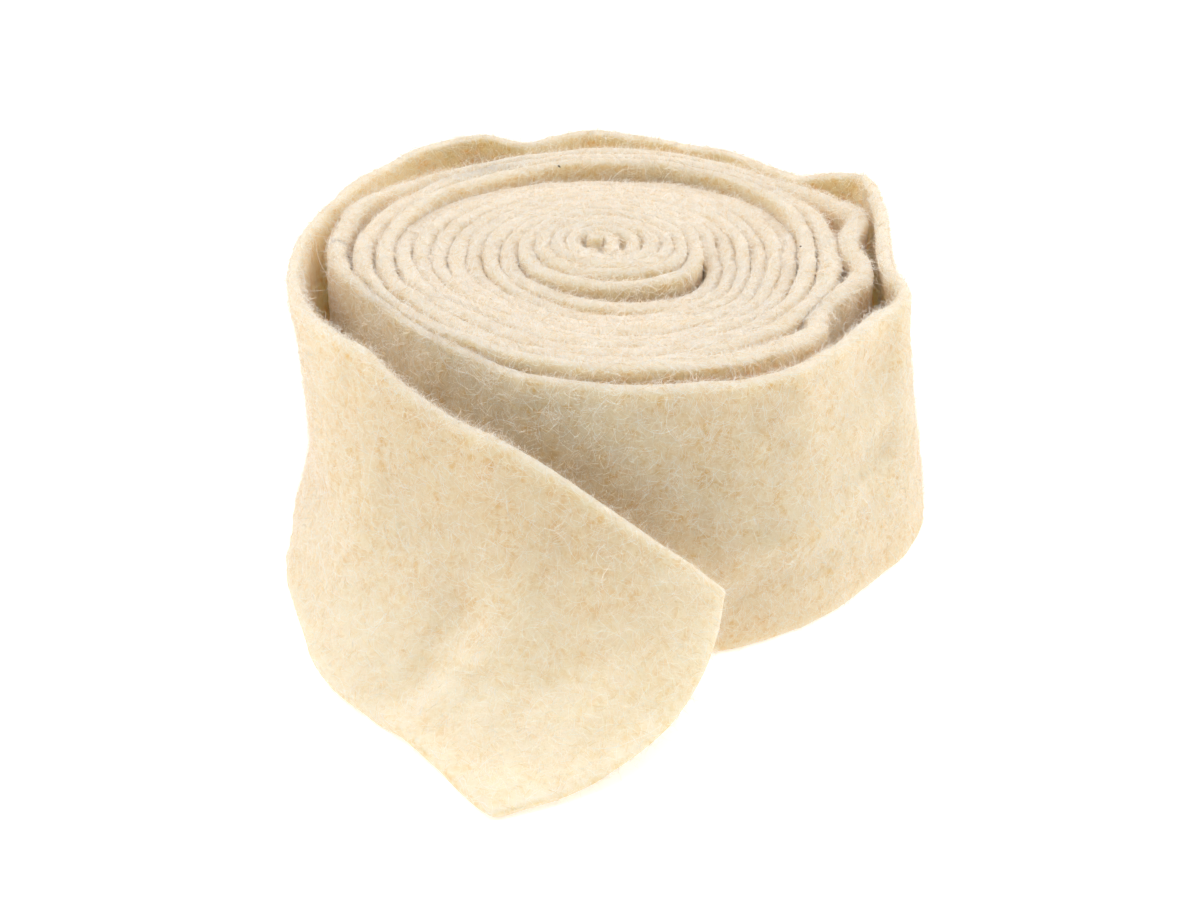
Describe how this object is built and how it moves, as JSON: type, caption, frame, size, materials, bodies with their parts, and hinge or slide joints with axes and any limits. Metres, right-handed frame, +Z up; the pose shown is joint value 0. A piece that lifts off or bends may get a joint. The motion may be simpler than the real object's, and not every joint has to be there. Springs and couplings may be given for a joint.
{
  "type": "roll of felt ribbon",
  "caption": "Cream wool felt ribbon wound into a roll that stands on its edge, its last turn loose and its cut end lying in front of it.",
  "frame": {"origin": "on the axis of the wound roll, at the centre of its flat base", "axes": "+Z up along the axis of the roll; +X to the right and -Y to the front, the side where the loose end lies"},
  "size_m": [0.1838, 0.2196, 0.0803],
  "materials": {
    "wool_felt": "soft, matt, fulled wool felt in undyed cream with loose surface fibres"
  },
  "bodies": {
    "root": {"wound_roll": "wool_felt", "loose_sheet": "wool_felt"}
  },
  "joints": []
}
